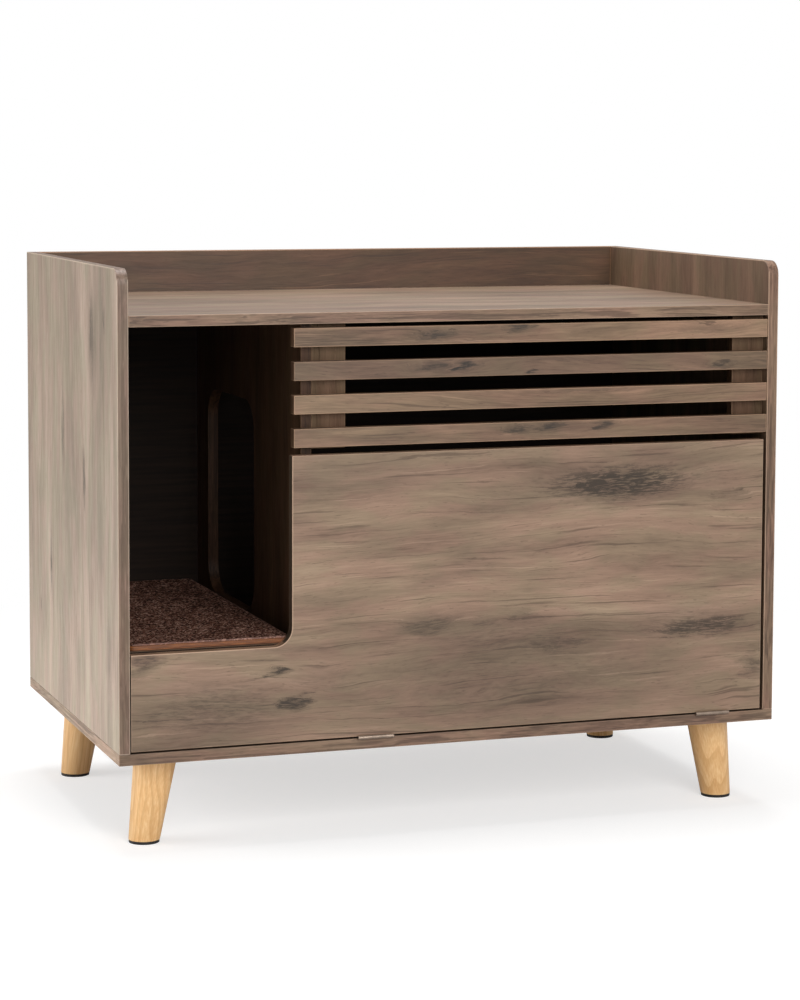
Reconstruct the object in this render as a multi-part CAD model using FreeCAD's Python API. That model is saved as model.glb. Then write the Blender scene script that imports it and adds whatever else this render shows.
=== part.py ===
import FreeCAD, Part
import math
import os

from FreeCAD import Vector

# A flat-pack cabinet that hides a cat's litter tray.
# +X is to the right, +Y to the back and +Z up. The origin is on the floor,
# in the middle of the whole object's width and depth. Sizes are millimetres.

# ---------------------------------------------------------------- carcass
cabinet_width = 940.0
cabinet_depth = 560.0
leg_height = 120.0             # floor to the underside of the base
tabletop_height = 705.0        # floor to the top surface
gallery_height = 60.0          # sides and back rail above the top surface
board_thickness = 15.0
side_corner_radius = 20.0
arris_radius = 0.8             # softened edge of an edge-banded board

back_panel_thickness = 5.0
back_panel_recess = 21.0       # the rear edges of the sides to the back panel
groove_depth = 6.0
groove_clearance = 0.2

# ------------------------------------------------- entrance and door
entrance_width = 219.5
sill_height = 129.5            # base's top surface to the top of the sill
door_overhang = 16.0           # door's upright edge past the divider's face
door_gap_left = 1.2
door_gap_right = 4.5
door_back_gap = 0.5            # between the shut door and what stands behind it
door_corner_radius = 25.0

pass_through_width = 240.0
pass_through_height = 300.0
pass_through_rear_margin = 60.0
pass_through_radius = 45.0

# ----------------------------------------------------------------- louvre
slat_count = 4
slat_height = 25.0
slat_spacing = 19.2            # clear gap between slats
slat_thickness = 15.0
louvre_top_gap = 5.3
louvre_bottom_gap = 10.1       # lowest slat to the top of the door
slat_overhang = 13.6           # slat ends past the divider's face
slat_end_clearance = 0.5
batten_width = 47.0
batten_thickness = 15.0
batten_drop = 3.0              # batten's end below the lowest slat

# ----------------------------------------------------- platform and pad
platform_rise = 2.5            # platform's top above the sill
cleat_size = 20.0
cleat_end_margin = 40.0
pad_board_thickness = 6.0
carpet_thickness = 3.0
pad_side_clearance = 3.0
pad_right_clearance = 14.0
pad_rear_clearance = 8.0
pad_corner_radius = 9.0
carpet_edge_inset = 1.0
soft_seat_gap = 0.3

# ------------------------------------------------------------------- legs
leg_top_radius = 29.5
leg_foot_radius = 21.0
leg_splay_deg = 8.0
foot_inset_x = 51.0            # cabinet's side to the middle of the foot
foot_inset_y = 73.0
foot_pad_thickness = 4.0
foot_pad_margin = 0.6
foot_nail_radius = 1.5
foot_nail_length = 12.0
hanger_bolt_radius = 4.0
hanger_bolt_leg_length = 35.0
hanger_bolt_base_length = 10.5
insert_outer_radius = 6.0
insert_length = 12.0

# ----------------------------------------------------------------- hinges
hinge_length = 50.0
hinge_inset_left = 334.0       # door's left edge to the middle of its hinge
hinge_inset_right = 75.0
hinge_leaf_thickness = 1.0
hinge_leaf_depth = 14.0
hinge_leaf_gap = 0.4
knuckle_count = 5
knuckle_gap = 0.25
barrel_radius = 2.75
barrel_clearance = 0.2
hinge_pin_radius = 1.25
running_clearance = 0.05
hinge_screw_spacing = 32.0

# ---------------------------------------------------------------- catches
catch_below_door_top = 27.0    # door's top edge to the middle of the catch
catch_height = 44.0
catch_thickness = 15.0
catch_depth = 26.0
catch_ear_thickness = 3.0
catch_body_height = 22.0
magnet_height = 18.0
magnet_width = 4.0
magnet_depth = 14.0
pole_plate_thickness = 1.2
pole_plate_proud = 0.5
magnet_gap = 0.3               # between pole plates and strike plate
strike_thickness = 1.2
strike_width = 8.0
strike_height = 34.0

# -------------------------------------------------------------- fasteners
fit_clearance = 0.05
dowel_radius = 4.0
dowel_length = 30.0
face_bore_depth = 11.0         # dowel bore in a board's broad face
batten_dowel_radius = 3.0
batten_dowel_length = 24.0
dowel_end_play = 0.5
cam_radius = 7.5
cam_height = 12.5
cam_backset = 24.0             # board's edge to the middle of the cam
cam_socket_radius = 2.5
cam_socket_depth = 2.0
cam_bolt_radius = 3.5
cam_bolt_anchor = 10.0
row_front_margin = 60.0        # first fixing of a row, from the front
row_rear_margin = 75.0

connector_head_radius = 5.0
connector_head_height = 3.0
connector_shank_radius = 3.5
connector_thread_radius = 2.5
connector_length = 50.0

# Screws: radius of the shank, whole length, radius and height of the head.
small_screw = {"shank": 1.5, "length": 12.0, "head": 2.6, "head_height": 1.1}
catch_screw = {"shank": 1.5, "length": 14.0, "head": 2.8, "head_height": 1.3}
board_screw = {"shank": 2.0, "length": 26.0, "head": 3.8, "head_height": 2.0}
rail_screw = {"shank": 2.0, "length": 45.0, "head": 3.8, "head_height": 2.0}
cross_slot_width = 0.8
cross_slot_share = 0.55        # of the head's radius and height
pan_head_share = 0.7           # a pan head's top to its seat
screw_tip_share = 0.2          # a screw's tip to its shank
screw_point_slope = 2.0        # length of the point in shank radii

# ------------------------------------------------------ derived places
overall_depth = cabinet_depth + 2 * barrel_radius + barrel_clearance
left_face = -cabinet_width / 2
right_face = cabinet_width / 2
back_face = overall_depth / 2
front_face = back_face - cabinet_depth
left_inner = left_face + board_thickness
right_inner = right_face - board_thickness

base_underside = leg_height
base_top = base_underside + board_thickness
top_underside = tabletop_height - board_thickness
gallery_top = tabletop_height + gallery_height

door_left = left_inner + door_gap_left
door_right = right_inner - door_gap_right
door_bottom = base_top + 2 * hinge_leaf_thickness + hinge_leaf_gap
door_back = front_face + board_thickness
door_upright = left_inner + entrance_width
sill_top = base_top + sill_height
slat_pitch = slat_height + slat_spacing
louvre_height = slat_count * slat_pitch - slat_spacing
louvre_bottom = top_underside - louvre_top_gap - louvre_height
door_top = louvre_bottom - louvre_bottom_gap

divider_left = door_upright + door_overhang
divider_right = divider_left + board_thickness
inner_front = door_back + door_back_gap
back_panel_back = back_face - back_panel_recess
back_panel_front = back_panel_back - back_panel_thickness
inner_back = back_panel_front - groove_clearance
rail_front = back_face - board_thickness

slat_left = divider_left - slat_overhang
slat_right = right_inner - slat_end_clearance
slat_front = inner_front - slat_thickness
batten_back = inner_front + batten_thickness
batten_bottom = louvre_bottom - batten_drop

platform_top = sill_top + platform_rise
platform_bottom = platform_top - board_thickness
cleat_bottom = platform_bottom - cleat_size

hinge_axis_y = front_face - barrel_radius - barrel_clearance
hinge_axis_z = base_top + hinge_leaf_thickness + hinge_leaf_gap / 2
hinge_screw_y = front_face + hinge_leaf_depth / 2

catch_z = door_top - catch_below_door_top
catch_front = door_back + strike_thickness + magnet_gap + pole_plate_proud

row_front = front_face + row_front_margin
row_rear = back_face - row_rear_margin
row_middle = (row_front + row_rear) / 2

X_AXIS = Vector(1, 0, 0)
Y_AXIS = Vector(0, 1, 0)
Z_AXIS = Vector(0, 0, 1)
JOIN_OVERLAP = 0.5             # parts of one solid reach this far into each other

parts = {}
holes = {}                     # node name to the shapes that are cut from it


# ------------------------------------------------------- general shapes
def block(low, high):
    """A plain box from its lowest to its highest corner."""
    size = [b - a for a, b in zip(low, high)]
    return Part.makeBox(*size, Vector(*low))


def banded_board(low, high):
    """A board whose twelve edges are softened by edge banding."""
    shape = block(low, high)
    return shape.makeFillet(arris_radius, shape.Edges)


def rod(start, direction, radius, length):
    return Part.makeCylinder(radius, length, start, direction)


def grown_rod(start, direction, radius, length):
    """The hole for a rod: wider all round, and as long."""
    return rod(start, direction, radius + fit_clearance, length)


def cut_into(node, *cutters):
    """Notes what is cut from a node once all pieces are placed."""
    holes.setdefault(node, []).extend(cutters)


def joined(shapes):
    first = shapes[0]
    for other in shapes[1:]:
        first = first.fuse(other)
    return first.removeSplitter()


def group(shapes):
    """Identical small pieces, kept as separate solids in one node."""
    return Part.makeCompound(shapes)


def rounded_plate(points, radii, depth):
    """A plate with square corners, each rounded by its radius, and a depth vector."""
    edges = []
    count = len(points)
    starts, ends = [], []
    for i, corner in enumerate(points):
        before = (points[i - 1] - corner).normalize()
        after = (points[(i + 1) % count] - corner).normalize()
        starts.append(corner + before * radii[i])
        ends.append(corner + after * radii[i])
    for i, corner in enumerate(points):
        if radii[i] > 0:
            middle_way = (starts[i] + ends[i]) * 0.5 - corner
            reach = radii[i] * (math.sqrt(2) - 1)
            middle = corner + middle_way.normalize() * reach
            edges.append(Part.Arc(starts[i], middle, ends[i]).toShape())
        following = starts[(i + 1) % count]
        edges.append(Part.LineSegment(ends[i], following).toShape())
    return Part.Face(Part.Wire(edges)).extrude(depth)


# --------------------------------------------------------------- screws
def screw_body(head_point, direction, kind, extra, sunk=True):
    """Head, shank and point of a wood screw, each wider by extra."""
    shank = kind["shank"] + extra
    head = kind["head"] + extra
    height = kind["head_height"]
    point_length = screw_point_slope * kind["shank"]
    straight = kind["length"] - point_length
    if sunk:
        top = Part.makeCone(head, shank, height, head_point, direction)
    else:
        seat = head_point - direction * height
        top = Part.makeCone(head * pan_head_share, head, height, seat, direction)
    tip_start = head_point + direction * straight
    stem = rod(head_point, direction, shank, straight)
    tip = Part.makeCone(shank, shank * screw_tip_share, point_length, tip_start, direction)
    return joined([top, stem, tip])


def cross_slot(head_point, direction, kind, sunk):
    """The two crossed slots that the driver turns."""
    height = kind["head_height"]
    reach = kind["head"] * cross_slot_share
    top = head_point if sunk else head_point - direction * height
    half_width = cross_slot_width / 2
    depth = height * cross_slot_share
    slot = joined([
        block((-reach, -half_width, -depth), (reach, half_width, depth)),
        block((-half_width, -reach, -depth), (half_width, reach, depth)),
    ])
    slot.Placement = FreeCAD.Placement(top, FreeCAD.Rotation(Z_AXIS, direction))
    return slot


def wood_screw(head_point, direction, kind, sunk=True):
    body = screw_body(head_point, direction, kind, 0, sunk)
    return body.cut(cross_slot(head_point, direction, kind, sunk))


def screw_hole(head_point, direction, kind, sunk=True):
    return screw_body(head_point, direction, kind, fit_clearance, sunk)


def connector(head_point, extra=0.0):
    """A one-piece connecting screw, driven up through the base."""
    through = board_thickness
    head = Part.makeCone(connector_head_radius + extra, connector_shank_radius + extra,
                         connector_head_height, head_point, Z_AXIS)
    shank = rod(head_point, Z_AXIS, connector_shank_radius + extra, through)
    thread = rod(head_point, Z_AXIS, connector_thread_radius + extra, connector_length)
    return joined([head, shank, thread])


# ---------------------------------------------------------------- boards
def side_panel(outer):
    corners = [
        Vector(outer, front_face, base_top),
        Vector(outer, back_face, base_top),
        Vector(outer, back_face, gallery_top),
        Vector(outer, front_face, gallery_top),
    ]
    radii = [0, 0, 0, side_corner_radius]
    shape = rounded_plate(corners, radii, X_AXIS * board_thickness)
    return shape.makeFillet(arris_radius, shape.Edges)


def back_panel_groove(low, high):
    """A groove round the back panel's edge, between two corners in x and z."""
    groove_front = back_panel_front - groove_clearance
    groove_back = back_panel_back + groove_clearance
    return block((low[0], groove_front, low[1]), (high[0], groove_back, high[1]))


def make_carcass():
    parts["base_panel"] = banded_board(
        (left_face, front_face, base_underside), (right_face, back_face, base_top))
    parts["left_side_panel"] = side_panel(left_face)
    parts["right_side_panel"] = side_panel(right_inner)
    parts["tabletop"] = banded_board(
        (left_inner, front_face, top_underside), (right_inner, rail_front, tabletop_height))
    parts["back_rail"] = banded_board(
        (left_inner, rail_front, top_underside), (right_inner, back_face, gallery_top))

    panel_left = left_inner - groove_depth + groove_clearance
    panel_right = right_inner + groove_depth - groove_clearance
    panel_bottom = base_top - groove_depth
    panel_top = top_underside + groove_depth - groove_clearance
    parts["back_panel"] = block(
        (panel_left, back_panel_front, panel_bottom), (panel_right, back_panel_back, panel_top))

    groove_left = left_inner - groove_depth
    groove_right = right_inner + groove_depth
    groove_top = top_underside + groove_depth
    cut_into("base_panel", back_panel_groove((groove_left, panel_bottom), (groove_right, base_top)))
    cut_into("tabletop", back_panel_groove((left_inner, top_underside), (right_inner, groove_top)))
    cut_into("left_side_panel",
             back_panel_groove((groove_left, base_top), (left_inner, groove_top)))
    cut_into("right_side_panel",
             back_panel_groove((right_inner, base_top), (groove_right, groove_top)))


def make_divider():
    """The wall between the entrance and the tray, with the cat's way through."""
    parts["divider_panel"] = banded_board(
        (divider_left, inner_front, base_top), (divider_right, inner_back, top_underside))
    way_back = inner_back - pass_through_rear_margin
    way_front = way_back - pass_through_width
    way_top = platform_top + pass_through_height
    corners = [
        Vector(divider_left, way_front, platform_top),
        Vector(divider_left, way_back, platform_top),
        Vector(divider_left, way_back, way_top),
        Vector(divider_left, way_front, way_top),
    ]
    cut_into("divider_panel",
             rounded_plate(corners, [pass_through_radius] * 4, X_AXIS * board_thickness))


# --------------------------------------------------------------- louvre
def slat_bottom(index):
    return louvre_bottom + (slat_count - 1 - index) * slat_pitch


def batten_walls():
    """Each batten's wall node, wall face and the way from the wall into the batten."""
    return {
        "left": ("divider_panel", divider_right, 1),
        "right": ("right_side_panel", right_inner, -1),
    }


def make_louvre():
    for index in range(slat_count):
        low = (slat_left, slat_front, slat_bottom(index))
        high = (slat_right, inner_front, slat_bottom(index) + slat_height)
        parts[f"louvre_slat_{index + 1}"] = banded_board(low, high)
    for side, (wall_node, wall, inward) in batten_walls().items():
        edges = sorted((wall, wall + inward * batten_width))
        parts[f"louvre_batten_{side}"] = banded_board(
            (edges[0], inner_front, batten_bottom), (edges[1], batten_back, top_underside))


def fix_louvre():
    screws, dowels = [], []
    for side, (wall_node, wall, inward) in batten_walls().items():
        batten = f"louvre_batten_{side}"
        for index in range(slat_count):
            middle = slat_bottom(index) + slat_height / 2
            head = Vector(wall + inward * batten_width / 2, batten_back, middle)
            screws.append(wood_screw(head, -Y_AXIS, board_screw, sunk=False))
            hole = screw_hole(head, -Y_AXIS, board_screw, sunk=False)
            cut_into(batten, hole)
            cut_into(f"louvre_slat_{index + 1}", hole)
        ends = (batten_bottom + slat_pitch / 2, top_underside - slat_pitch / 2)
        for height in ends:
            joint = Vector(wall, (inner_front + batten_back) / 2, height)
            dowels.append(dowel(joint, X_AXIS * inward, wall_node, batten,
                                batten_dowel_radius, batten_dowel_length))
    parts["louvre_screws"] = group(screws)
    parts["batten_dowels"] = group(dowels)


# ------------------------------------------------------------- fixings
def dowel(joint, inward, face_node, edge_node, radius, length):
    """A dowel from a board's broad face into the edge of the board that meets it."""
    depth_in_face = min(face_bore_depth, length / 2)
    start = joint - inward * depth_in_face
    bore_start = start - inward * dowel_end_play
    bore = grown_rod(bore_start, inward, radius, length + 2 * dowel_end_play)
    cut_into(face_node, bore)
    cut_into(edge_node, bore)
    return rod(start, inward, radius, length)


def cam_fixing(joint, inward, into_board, bolt_node, cam_node):
    """A cam in one board that draws in a bolt anchored in another; returns both.

    joint is on the bolt board's face, at half the cam board's thickness, inward
    leads into the cam board, and into_board from the cam's open face.
    """
    centre = joint + inward * cam_backset
    mouth = centre - into_board * (board_thickness / 2)
    bolt_start = joint - inward * cam_bolt_anchor
    bolt_length = cam_bolt_anchor + cam_backset
    bolt = rod(bolt_start, inward, cam_bolt_radius, bolt_length)
    bolt_bore = grown_rod(bolt_start, inward, cam_bolt_radius, bolt_length)
    cam = rod(mouth, into_board, cam_radius, cam_height).cut(bolt_bore)
    socket = rod(mouth, into_board, cam_socket_radius, cam_socket_depth)
    cut_into(bolt_node, bolt_bore)
    cut_into(cam_node, bolt_bore, grown_rod(mouth, into_board, cam_radius, cam_height))
    return cam.cut(socket), bolt


def fix_tabletop():
    cams, bolts, dowels = [], [], []
    middle = top_underside + board_thickness / 2
    sides = (("left_side_panel", left_inner, X_AXIS), ("right_side_panel", right_inner, -X_AXIS))
    for node, wall, inward in sides:
        for y, step in ((row_front, 1), (row_rear, -1)):
            joint = Vector(wall, y, middle)
            cam, bolt = cam_fixing(joint, inward, Z_AXIS, node, "tabletop")
            cams.append(cam)
            bolts.append(bolt)
            beside = Vector(wall, y + step * 2 * cam_backset, middle)
            dowels.append(dowel(beside, inward, node, "tabletop", dowel_radius, dowel_length))
        rail_end = Vector(wall, (rail_front + back_face) / 2, (top_underside + gallery_top) / 2)
        dowels.append(dowel(rail_end, inward, node, "back_rail", dowel_radius, dowel_length))
    for y in (row_front, row_rear):
        joint = Vector((divider_left + divider_right) / 2, y, top_underside)
        cam, bolt = cam_fixing(joint, -Z_AXIS, -X_AXIS, "tabletop", "divider_panel")
        cams.append(cam)
        bolts.append(bolt)
    parts["cam_locks"] = group(cams)
    parts["cam_bolts"] = group(bolts)
    parts["frame_dowels"] = group(dowels)


def fix_back_rail():
    """Screws from the rear into the tabletop's edge, above the back panel's groove."""
    screws = []
    screw_z = (top_underside + groove_depth + tabletop_height) / 2
    for share in (-1, 0, 1):
        x = share * (cabinet_width / 2 - row_rear_margin)
        head = Vector(x, back_face, screw_z)
        screws.append(wood_screw(head, -Y_AXIS, rail_screw))
        hole = screw_hole(head, -Y_AXIS, rail_screw)
        cut_into("tabletop", hole)
        cut_into("back_rail", hole)
    parts["back_rail_screws"] = group(screws)


def fix_base():
    screws = []
    rows = {
        "left_side_panel": left_face + board_thickness / 2,
        "divider_panel": (divider_left + divider_right) / 2,
        "right_side_panel": right_face - board_thickness / 2,
    }
    for node, x in rows.items():
        for y in (row_front, row_middle, row_rear):
            head = Vector(x, y, base_underside)
            screws.append(connector(head))
            hole = connector(head, fit_clearance)
            cut_into("base_panel", hole)
            cut_into(node, hole)
    parts["connecting_screws"] = group(screws)


# ----------------------------------------------------- platform and pad
def make_platform():
    parts["entrance_platform"] = banded_board(
        (left_inner, inner_front, platform_bottom), (divider_left, inner_back, platform_top))
    cleat_front = inner_front + cleat_end_margin
    cleat_back = inner_back - cleat_end_margin
    wall_screws, platform_screws = [], []
    walls = (("left", "left_side_panel", left_inner, 1), ("right", "divider_panel", divider_left, -1))
    for side, wall_node, wall, inward in walls:
        cleat = f"platform_cleat_{side}"
        edges = sorted((wall, wall + inward * cleat_size))
        parts[cleat] = block((edges[0], cleat_front, cleat_bottom),
                             (edges[1], cleat_back, platform_bottom))
        for end, step in ((cleat_front, 1), (cleat_back, -1)):
            y = end + step * cleat_end_margin
            head = Vector(wall + inward * cleat_size, y, cleat_bottom + cleat_size / 2)
            wall_screws.append(wood_screw(head, X_AXIS * -inward, board_screw))
            hole = screw_hole(head, X_AXIS * -inward, board_screw)
            cut_into(cleat, hole)
            cut_into(wall_node, hole)
            head = Vector(wall + inward * cleat_size / 2, y + step * cleat_size, cleat_bottom)
            platform_screws.append(wood_screw(head, Z_AXIS, board_screw))
            hole = screw_hole(head, Z_AXIS, board_screw)
            cut_into(cleat, hole)
            cut_into("entrance_platform", hole)
    parts["cleat_screws"] = group(wall_screws)
    parts["platform_screws"] = group(platform_screws)


def make_scratch_pad():
    """A loose board with carpet on it, which lifts out for cleaning."""
    bottom = platform_top + soft_seat_gap
    left = left_inner + pad_side_clearance
    right = divider_left - pad_right_clearance
    front = inner_front + pad_side_clearance / 2
    back = inner_back - pad_rear_clearance

    def layer(inset, low, thickness):
        corners = [
            Vector(left + inset, front + inset, low),
            Vector(right - inset, front + inset, low),
            Vector(right - inset, back - inset, low),
            Vector(left + inset, back - inset, low),
        ]
        return rounded_plate(corners, [pad_corner_radius - inset] * 4, Z_AXIS * thickness)

    board = layer(0, bottom, pad_board_thickness)
    parts["scratch_pad_board"] = board.makeFillet(arris_radius, board.Edges)
    parts["scratch_pad_carpet"] = layer(
        carpet_edge_inset, bottom + pad_board_thickness, carpet_thickness)


# ----------------------------------------------------------------- door
def make_door():
    corners = [
        Vector(door_left, front_face, door_bottom),
        Vector(door_right, front_face, door_bottom),
        Vector(door_right, front_face, door_top),
        Vector(door_upright, front_face, door_top),
        Vector(door_upright, front_face, sill_top),
        Vector(door_left, front_face, sill_top),
    ]
    radii = [0, 0, 0, 0, door_corner_radius, 0]
    shape = rounded_plate(corners, radii, Y_AXIS * board_thickness)
    parts["door_panel"] = shape.makeFillet(arris_radius, shape.Edges)


def hinge_leaf(middle, bottom, own_knuckles):
    """A hinge leaf with its share of the knuckles, before its screw holes."""
    start = middle - hinge_length / 2
    top = bottom + hinge_leaf_thickness
    pieces = [block((start, front_face, bottom),
                    (start + hinge_length, front_face + hinge_leaf_depth, top))]
    pitch = hinge_length / knuckle_count
    for index in own_knuckles:
        first = start + index * pitch + (knuckle_gap / 2 if index > 0 else 0)
        last = start + (index + 1) * pitch - (knuckle_gap / 2 if index < knuckle_count - 1 else 0)
        axis_point = Vector(first, hinge_axis_y, hinge_axis_z)
        pieces.append(rod(axis_point, X_AXIS, barrel_radius, last - first))
        pieces.append(block((first, hinge_axis_y, bottom),
                            (last, front_face + JOIN_OVERLAP, top)))
    bore_start = Vector(start, hinge_axis_y, hinge_axis_z)
    bore = rod(bore_start, X_AXIS, hinge_pin_radius + running_clearance, hinge_length)
    return joined(pieces).cut(bore)


def make_hinges():
    base_screws, door_screws = [], []
    middles = {
        "left": door_left + hinge_inset_left,
        "right": door_right - hinge_inset_right,
    }
    for side, middle in middles.items():
        base_leaf = f"hinge_{side}_base_leaf"
        door_leaf = f"hinge_{side}_door_leaf"
        parts[base_leaf] = hinge_leaf(middle, base_top, range(0, knuckle_count, 2))
        parts[door_leaf] = hinge_leaf(middle, door_bottom - hinge_leaf_thickness,
                                      range(1, knuckle_count, 2))
        pin_start = Vector(middle - hinge_length / 2, hinge_axis_y, hinge_axis_z)
        parts[f"hinge_{side}_pin"] = rod(pin_start, X_AXIS, hinge_pin_radius, hinge_length)
        for step in (-1, 1):
            x = middle + step * hinge_screw_spacing / 2
            low_head = Vector(x, hinge_screw_y, base_top + hinge_leaf_thickness)
            high_head = Vector(x, hinge_screw_y, door_bottom - hinge_leaf_thickness)
            base_screws.append(wood_screw(low_head, -Z_AXIS, small_screw))
            door_screws.append(wood_screw(high_head, Z_AXIS, small_screw))
            for node in (base_leaf, "base_panel"):
                cut_into(node, screw_hole(low_head, -Z_AXIS, small_screw))
            for node in (door_leaf, "door_panel"):
                cut_into(node, screw_hole(high_head, Z_AXIS, small_screw))
    parts["hinge_base_screws"] = group(base_screws)
    parts["hinge_door_screws"] = group(door_screws)


def magnetic_catch(side, wall_node, wall, inward):
    """One catch on a wall and its strike plate on the door; returns the screws."""
    def across(near, far):
        return sorted((wall + inward * near, wall + inward * far))

    half = catch_height / 2
    body_half = catch_body_height / 2
    catch_back = catch_front + catch_depth
    plate = across(0, catch_ear_thickness)
    body = across(0, catch_thickness)
    housing = joined([
        block((plate[0], catch_front, catch_z - half), (plate[1], catch_back, catch_z + half)),
        block((body[0], catch_front, catch_z - body_half),
              (body[1], catch_back, catch_z + body_half)),
    ])
    core = wall + inward * (catch_thickness + catch_ear_thickness) / 2
    pack = magnet_width / 2 + pole_plate_thickness
    pack_back = catch_front + magnet_depth
    pocket = block((core - pack, catch_front, catch_z - magnet_height / 2),
                   (core + pack, pack_back, catch_z + magnet_height / 2))
    parts[f"catch_{side}_housing"] = housing.cut(pocket)

    low_z, high_z = catch_z - magnet_height / 2, catch_z + magnet_height / 2
    plates_front = catch_front - pole_plate_proud
    inner = magnet_width / 2
    parts[f"catch_{side}_magnet"] = group([
        block((core - inner, catch_front, low_z), (core + inner, pack_back, high_z)),
        block((core - pack, plates_front, low_z), (core - inner, pack_back, high_z)),
        block((core + inner, plates_front, low_z), (core + pack, pack_back, high_z)),
    ])

    strike = f"strike_plate_{side}"
    strike_back = door_back + strike_thickness
    parts[strike] = block(
        (core - strike_width / 2, door_back, catch_z - strike_height / 2),
        (core + strike_width / 2, strike_back, catch_z + strike_height / 2))
    strike_head = Vector(core, strike_back, catch_z)
    for node in (strike, "door_panel"):
        cut_into(node, screw_hole(strike_head, -Y_AXIS, small_screw))

    ear_screws = []
    for step in (-1, 1):
        ear_z = catch_z + step * (half + body_half) / 2
        head = Vector(wall + inward * catch_ear_thickness, catch_front + catch_depth / 2, ear_z)
        ear_screws.append(wood_screw(head, X_AXIS * -inward, catch_screw))
        for node in (f"catch_{side}_housing", wall_node):
            cut_into(node, screw_hole(head, X_AXIS * -inward, catch_screw))
    return ear_screws, wood_screw(strike_head, -Y_AXIS, small_screw)


def make_catches():
    ear_screws, strike_screws = [], []
    for side, (wall_node, wall, inward) in batten_walls().items():
        ears, strike = magnetic_catch(side, wall_node, wall, inward)
        ear_screws.extend(ears)
        strike_screws.append(strike)
    parts["catch_screws"] = group(ear_screws)
    parts["strike_plate_screws"] = group(strike_screws)


# ----------------------------------------------------------------- legs
def make_leg(name, foot_x, foot_y, outward):
    """One tapered leg that leans outward, with its pad; returns bolt and insert."""
    splay = math.radians(leg_splay_deg)
    rise = base_underside - foot_pad_thickness
    foot = Vector(foot_x, foot_y, foot_pad_thickness)
    head = foot + Vector(-outward * rise * math.tan(splay), 0, rise)
    axis = (head - foot).normalize()
    length = rise / math.cos(splay)
    taper = (leg_top_radius - leg_foot_radius) / length
    spare = leg_top_radius * math.tan(splay) + JOIN_OVERLAP
    cone = Part.makeCone(
        (leg_foot_radius - taper * spare) * math.cos(splay),
        (leg_top_radius + taper * spare) * math.cos(splay),
        length + 2 * spare, foot - axis * spare, axis)
    reach = leg_top_radius + leg_foot_radius + rise
    slab = block((foot_x - reach, foot_y - reach, foot_pad_thickness),
                 (foot_x + reach, foot_y + reach, base_underside))
    parts[f"leg_{name}"] = cone.common(slab)

    pad_radius = leg_foot_radius - foot_pad_margin
    disc = rod(Vector(foot_x, foot_y, 0), Z_AXIS, pad_radius, foot_pad_thickness)
    nail = rod(foot, Z_AXIS, foot_nail_radius, foot_nail_length)
    parts[f"foot_pad_{name}"] = joined([disc, nail])
    cut_into(f"leg_{name}", grown_rod(foot, Z_AXIS, foot_nail_radius, foot_nail_length))

    bolt_start = head - Z_AXIS * hanger_bolt_leg_length
    bolt_length = hanger_bolt_leg_length + hanger_bolt_base_length
    bolt = rod(bolt_start, Z_AXIS, hanger_bolt_radius, bolt_length)
    bolt_bore = grown_rod(bolt_start, Z_AXIS, hanger_bolt_radius, bolt_length)
    insert = rod(head, Z_AXIS, insert_outer_radius, insert_length).cut(bolt_bore)
    cut_into(f"leg_{name}", bolt_bore)
    cut_into("base_panel", grown_rod(head, Z_AXIS, insert_outer_radius, insert_length))
    return bolt, insert


def make_legs():
    bolts, inserts = [], []
    rows = {"front": front_face + foot_inset_y, "back": back_face - foot_inset_y}
    sides = {
        "left": (left_face + foot_inset_x, -1),
        "right": (right_face - foot_inset_x, 1),
    }
    for row, foot_y in rows.items():
        for side, (foot_x, outward) in sides.items():
            bolt, insert = make_leg(f"{row}_{side}", foot_x, foot_y, outward)
            bolts.append(bolt)
            inserts.append(insert)
    parts["hanger_bolts"] = group(bolts)
    parts["threaded_inserts"] = group(inserts)


# --------------------------------------------------------------- writing
def write_parts():
    os.makedirs("parts", exist_ok=True)
    for name, shape in parts.items():
        for cutter in holes.get(name, []):
            shape = shape.cut(cutter)
        shape.exportStep(f"parts/{name}.step")
        count = len(shape.Solids)
        print(f"{name}: {count} solid(s), {shape.Volume / 1000:.2f} cm3, valid {shape.isValid()}")


make_carcass()
make_divider()
make_louvre()
fix_louvre()
fix_tabletop()
fix_back_rail()
fix_base()
make_platform()
make_scratch_pad()
make_door()
make_hinges()
make_catches()
make_legs()
write_parts()
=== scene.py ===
"""The looks of the cat litter box cabinet: printed oak boards, pine legs, carpet pad and plated hinges."""

import math

import bpy
from mathutils import Matrix, Vector


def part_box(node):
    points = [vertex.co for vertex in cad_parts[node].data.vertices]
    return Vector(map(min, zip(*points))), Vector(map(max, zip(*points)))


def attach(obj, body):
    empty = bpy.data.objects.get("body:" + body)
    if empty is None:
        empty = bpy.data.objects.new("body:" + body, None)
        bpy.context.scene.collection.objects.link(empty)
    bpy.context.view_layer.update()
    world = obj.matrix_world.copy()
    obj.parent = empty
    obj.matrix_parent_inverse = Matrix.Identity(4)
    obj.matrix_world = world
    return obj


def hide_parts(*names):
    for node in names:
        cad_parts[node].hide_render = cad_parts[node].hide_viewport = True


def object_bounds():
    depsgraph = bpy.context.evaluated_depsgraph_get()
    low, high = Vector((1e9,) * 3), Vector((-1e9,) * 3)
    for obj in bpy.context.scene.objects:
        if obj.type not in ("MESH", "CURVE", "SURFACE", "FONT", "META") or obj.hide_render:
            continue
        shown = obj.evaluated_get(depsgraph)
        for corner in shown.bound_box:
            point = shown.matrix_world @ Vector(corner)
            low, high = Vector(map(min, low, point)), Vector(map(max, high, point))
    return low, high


MM = 0.001
ALONG_X, ALONG_Y, ALONG_Z = 0, 1, 2
WHITE = (1.0, 1.0, 1.0, 1.0)

# The camera, found from the corners of the boards in the photograph.
CAMERA_PLACE = Vector((-1.3011, -3.7382, 0.9313))
CAMERA_HEADING = math.radians(19.34)
CAMERA_PITCH = math.radians(4.955)
CAMERA_ROLL = math.radians(0.207)
CAMERA_LENS = 99.99
CAMERA_RISE = -0.12

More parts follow.
